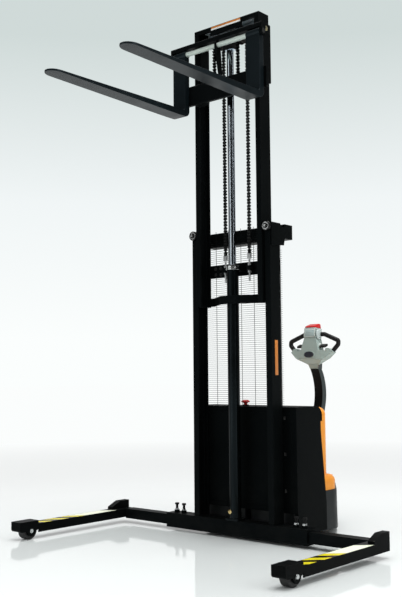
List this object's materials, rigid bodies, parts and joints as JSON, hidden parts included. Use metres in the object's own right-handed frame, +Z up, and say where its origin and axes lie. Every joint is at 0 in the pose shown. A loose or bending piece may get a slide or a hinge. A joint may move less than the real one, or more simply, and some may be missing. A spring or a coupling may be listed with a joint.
{
  "type": "walk-behind stacker",
  "caption": "Walk-behind electric stacker with a two-stage mast raised on a central cylinder, forks on a chain-lifted carriage, sliding straddle legs, wire guard and tiller",
  "frame": {"origin": "centre of the bounding box on the floor", "axes": "+Z up, forks point along -Y, +X to the right as the picture shows it; built with the mast fully raised"},
  "size_m": [2.016, 2.1867, 3.166],
  "materials": {
    "black_paint": "semi-gloss black paint",
    "orange_paint": "gloss orange-yellow paint",
    "grey_plastic": "dark grey moulded plastic",
    "chrome_rod": "hard chrome",
    "zinc_steel": "zinc-plated steel",
    "bare_steel": "oiled steel",
    "dark_tyre": "dark polyurethane tread",
    "light_plastic": "light grey moulded plastic",
    "black_plastic": "black moulded plastic",
    "red_plastic": "gloss red plastic"
  },
  "bodies": {
    "truck": {"base_sleeve": "black_paint", "chassis_frame": "black_paint", "outer_mast_left": "black_paint", "outer_mast_right": "black_paint", "mast_top_tie": "black_paint", "chain_anchor_beam": "black_paint", "chain_anchor_rods": "zinc_steel", "chain_back_runs": "bare_steel", "cylinder_barrel": "black_paint", "cylinder_gland": "zinc_steel", "mesh_guard": "black_paint", "front_panel": "black_paint", "side_panel_left": "black_paint", "side_panel_right": "black_paint", "top_cover": "black_paint", "rear_cover": "orange_paint", "drive_skirt": "grey_plastic", "batteries": "black_plastic", "power_unit": "black_plastic", "leg_lock_bolts": "zinc_steel"},
    "inner_mast": {"inner_mast_left": "black_paint", "inner_mast_right": "black_paint", "mast_head_beam": "black_paint", "mast_foot_tie": "black_paint", "cylinder_rod": "chrome_rod", "sheave_axle": "zinc_steel", "chain_wraps": "bare_steel"},
    "carriage": {"carriage_top_bar": "black_paint", "carriage_lower_bar": "black_paint", "carriage_side_left": "black_paint", "carriage_side_right": "black_paint", "carriage_rollers": "bare_steel", "fork_shaft": "zinc_steel", "chain_front_runs": "bare_steel"},
    "guide_roller_left": {"guide_roller_left": "zinc_steel"},
    "guide_roller_right": {"guide_roller_right": "zinc_steel"},
    "mast_roller_left": {"mast_roller_left": "bare_steel"},
    "mast_roller_right": {"mast_roller_right": "bare_steel"},
    "sheave_left": {"chain_sheave_left": "bare_steel"},
    "sheave_right": {"chain_sheave_right": "bare_steel"},
    "fork_left": {"fork_left": "black_paint"},
    "fork_right": {"fork_right": "black_paint"},
    "leg_left": {"leg_beam_left": "black_paint", "leg_slide_left": "black_paint", "load_axle_left": "zinc_steel"},
    "leg_right": {"leg_beam_right": "black_paint", "leg_slide_right": "black_paint", "load_axle_right": "zinc_steel"},
    "load_wheel_left": {"load_wheel_left": "dark_tyre"},
    "load_wheel_right": {"load_wheel_right": "dark_tyre"},
    "steering": {"drive_unit": "bare_steel", "drive_dome": "orange_paint"},
    "drive_wheel": {"drive_wheel": "dark_tyre"},
    "tiller": {"tiller_arm": "black_paint", "tiller_head": "light_plastic", "tiller_grips": "black_plastic"},
    "throttle": {"throttle": "black_plastic"},
    "belly_button": {"belly_button": "red_plastic"},
    "lift_rocker": {"lift_rocker": "black_plastic"},
    "estop_button": {"estop_button": "red_plastic"}
  },
  "joints": [
    {"name": "mast_lift", "type": "slide", "parent": "truck", "child": "inner_mast", "axis": [0, 0, 1], "range_m": [-1.265, 0], "deforming": ["chain_back_runs"]},
    {"name": "carriage_lift", "type": "slide", "parent": "inner_mast", "child": "carriage", "axis": [0, 0, 1], "range_m": [-1.265, 0], "deforming": ["chain_front_runs"]},
    {"name": "guide_roller_left_turn", "type": "hinge", "parent": "truck", "child": "guide_roller_left", "pos_m": [-0.287, 0.0925, 1.848], "axis": [0, 1, 0], "range_deg": [0, 2520]},
    {"name": "guide_roller_right_turn", "type": "hinge", "parent": "truck", "child": "guide_roller_right", "pos_m": [0.287, 0.0925, 1.848], "axis": [0, 1, 0], "range_deg": [-2520, 0]},
    {"name": "mast_roller_left_turn", "type": "hinge", "parent": "inner_mast", "child": "mast_roller_left", "pos_m": [-0.28, 0.151, 1.445], "axis": [1, 0, 0], "range_deg": [0, 1920]},
    {"name": "mast_roller_right_turn", "type": "hinge", "parent": "inner_mast", "child": "mast_roller_right", "pos_m": [0.28, 0.151, 1.445], "axis": [1, 0, 0], "range_deg": [0, 1920]},
    {"name": "sheave_left_turn", "type": "hinge", "parent": "inner_mast", "child": "sheave_left", "pos_m": [-0.094, 0.1315, 3.065], "axis": [1, 0, 0], "range_deg": [0, 1660]},
    {"name": "sheave_right_turn", "type": "hinge", "parent": "inner_mast", "child": "sheave_right", "pos_m": [0.094, 0.1315, 3.065], "axis": [1, 0, 0], "range_deg": [0, 1660]},
    {"name": "fork_left_shift", "type": "slide", "parent": "carriage", "child": "fork_left", "axis": [1, 0, 0], "range_m": [0, 0.22]},
    {"name": "fork_right_shift", "type": "slide", "parent": "carriage", "child": "fork_right", "axis": [-1, 0, 0], "range_m": [0, 0.22]},
    {"name": "leg_left_slide", "type": "slide", "parent": "truck", "child": "leg_left", "axis": [1, 0, 0], "range_m": [0, 0.36]},
    {"name": "leg_right_slide", "type": "slide", "parent": "truck", "child": "leg_right", "axis": [-1, 0, 0], "range_m": [0, 0.36]},
    {"name": "load_wheel_left_roll", "type": "hinge", "parent": "leg_left", "child": "load_wheel_left", "pos_m": [-0.962, -0.6715, 0.051], "axis": [1, 0, 0], "continuous": true},
    {"name": "load_wheel_right_roll", "type": "hinge", "parent": "leg_right", "child": "load_wheel_right", "pos_m": [0.962, -0.6715, 0.051], "axis": [1, 0, 0], "continuous": true},
    {"name": "steer", "type": "hinge", "parent": "truck", "child": "steering", "pos_m": [0, 0.8025, 0.26], "axis": [0, 0, 1], "range_deg": [-90, 90]},
    {"name": "drive_wheel_roll", "type": "hinge", "parent": "steering", "child": "drive_wheel", "pos_m": [0, 0.8025, 0.115], "axis": [1, 0, 0], "continuous": true},
    {"name": "tiller_tilt", "type": "hinge", "parent": "steering", "child": "tiller", "pos_m": [0, 0.9625, 0.455], "axis": [-1, 0, 0], "range_deg": [0, 60], "stiffness_Nm_per_rad": 40, "springref_deg": -57.3},
    {"name": "throttle_turn", "type": "hinge", "parent": "tiller", "child": "throttle", "pos_m": [0, 0.98049, 1.16103], "axis": [1, 0, 0], "range_deg": [-20, 20], "stiffness_Nm_per_rad": 0.8},
    {"name": "belly_press", "type": "slide", "parent": "tiller", "child": "belly_button", "axis": [0, -0.1045, -0.9945], "range_m": [0, 0.006], "stiffness_N_per_m": 2000, "springref_m": -0.002},
    {"name": "rocker_tilt", "type": "hinge", "parent": "tiller", "child": "lift_rocker", "pos_m": [0, 1.03141, 1.1959], "axis": [1, 0, 0], "range_deg": [-10, 10], "stiffness_Nm_per_rad": 0.5},
    {"name": "estop_press", "type": "slide", "parent": "truck", "child": "estop_button", "axis": [0, 0, -1], "range_m": [0, 0.006], "stiffness_N_per_m": 1500, "springref_m": -0.002}
  ],
  "couplings": [
    {"joint": "carriage_lift", "follows": "mast_lift", "ratio": 1},
    {"joint": "guide_roller_left_turn", "follows": "mast_lift", "rad_per_m": -34.483},
    {"joint": "guide_roller_right_turn", "follows": "mast_lift", "rad_per_m": 34.483},
    {"joint": "mast_roller_left_turn", "follows": "mast_lift", "rad_per_m": -26.316},
    {"joint": "mast_roller_right_turn", "follows": "mast_lift", "rad_per_m": -26.316},
    {"joint": "sheave_left_turn", "follows": "mast_lift", "rad_per_m": -22.727},
    {"joint": "sheave_right_turn", "follows": "mast_lift", "rad_per_m": -22.727}
  ]
}
